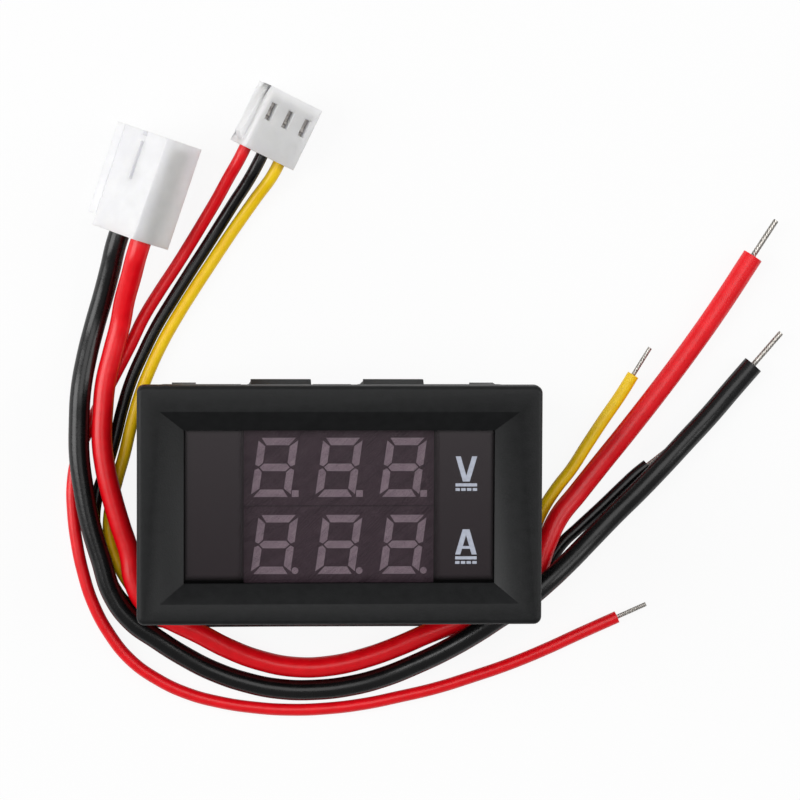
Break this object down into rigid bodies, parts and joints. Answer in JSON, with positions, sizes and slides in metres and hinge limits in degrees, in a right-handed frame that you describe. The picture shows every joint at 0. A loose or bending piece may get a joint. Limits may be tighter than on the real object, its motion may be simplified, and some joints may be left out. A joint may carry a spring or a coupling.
{
  "type": "digital panel meter",
  "caption": "Snap-in panel meter with stacked seven-segment displays behind a tinted window, an open-backed housing, and loose lead sets with connector plugs.",
  "frame": {"origin": "centre of the housing's rear rim, on the surface the meter lies on", "axes": "+Z out of the display, +X to the right of the reading, +Y to the top of the reading"},
  "size_m": [0.088, 0.078, 0.021],
  "materials": {
    "black_abs": "fine moulded grain",
    "tinted_filter": "smoky transparent sheet",
    "display_face": "dark printed face, white case behind",
    "unlit_segments": "frosted diffuser, unlit",
    "tinned_pins": "tin plated",
    "green_board": "solder mask over glass laminate",
    "white_nylon": "natural nylon",
    "milky_nylon": "milky translucent nylon",
    "shunt_alloy": "copper coloured resistance alloy",
    "black_epoxy": "moulded package",
    "black_chip_film": "glazed resistor film",
    "tan_ceramic": "fired ceramic",
    "cream_ceramic": "ceramic base",
    "trimmer_brass": "plated",
    "tinned_contacts": "stamped and tin plated",
    "black_pvc": "soft satin insulation",
    "red_pvc": "soft satin insulation",
    "yellow_pvc": "soft satin insulation",
    "tinned_copper": "twisted and tinned strands"
  },
  "bodies": {
    "meter": {"housing": "black_abs", "window_filter": "tinted_filter", "volt_display_case": "display_face", "volt_digit_left": "unlit_segments", "volt_digit_middle": "unlit_segments", "volt_digit_right": "unlit_segments", "amp_display_case": "display_face", "amp_digit_left": "unlit_segments", "amp_digit_middle": "unlit_segments", "amp_digit_right": "unlit_segments", "display_pins": "tinned_pins", "main_board": "green_board", "load_header": "white_nylon", "load_header_pins": "tinned_pins", "supply_header": "white_nylon", "supply_header_pins": "tinned_pins", "shunt": "shunt_alloy", "controller_chip": "black_epoxy", "amplifier_chip": "black_epoxy", "regulator": "black_epoxy", "component_leads": "tinned_pins", "resistors": "black_chip_film", "capacitors": "tan_ceramic", "diode": "black_epoxy", "volt_trimmer_base": "cream_ceramic", "amp_trimmer_base": "cream_ceramic", "load_plug": "milky_nylon", "load_plug_contacts": "tinned_contacts", "supply_plug": "milky_nylon", "supply_plug_contacts": "tinned_contacts", "load_lead_black": "black_pvc", "load_lead_red": "red_pvc", "supply_lead_red": "red_pvc", "supply_lead_black": "black_pvc", "sense_lead_yellow": "yellow_pvc", "load_strands_black": "tinned_copper", "load_strands_red": "tinned_copper", "supply_strands_red": "tinned_copper", "supply_strands_black": "tinned_copper", "sense_strands_yellow": "tinned_copper"},
    "volt_trimmer": {"volt_trimmer_rotor": "trimmer_brass"},
    "amp_trimmer": {"amp_trimmer_rotor": "trimmer_brass"}
  },
  "joints": [
    {"name": "volt_trimmer_turn", "type": "hinge", "parent": "meter", "child": "volt_trimmer", "pos_m": [0.0097, 0.0091, 0.00875], "axis": [0, 0, -1], "range_deg": [-130, 130]},
    {"name": "amp_trimmer_turn", "type": "hinge", "parent": "meter", "child": "amp_trimmer", "pos_m": [0.0097, 0.0043, 0.00875], "axis": [0, 0, -1], "range_deg": [-130, 130]}
  ]
}
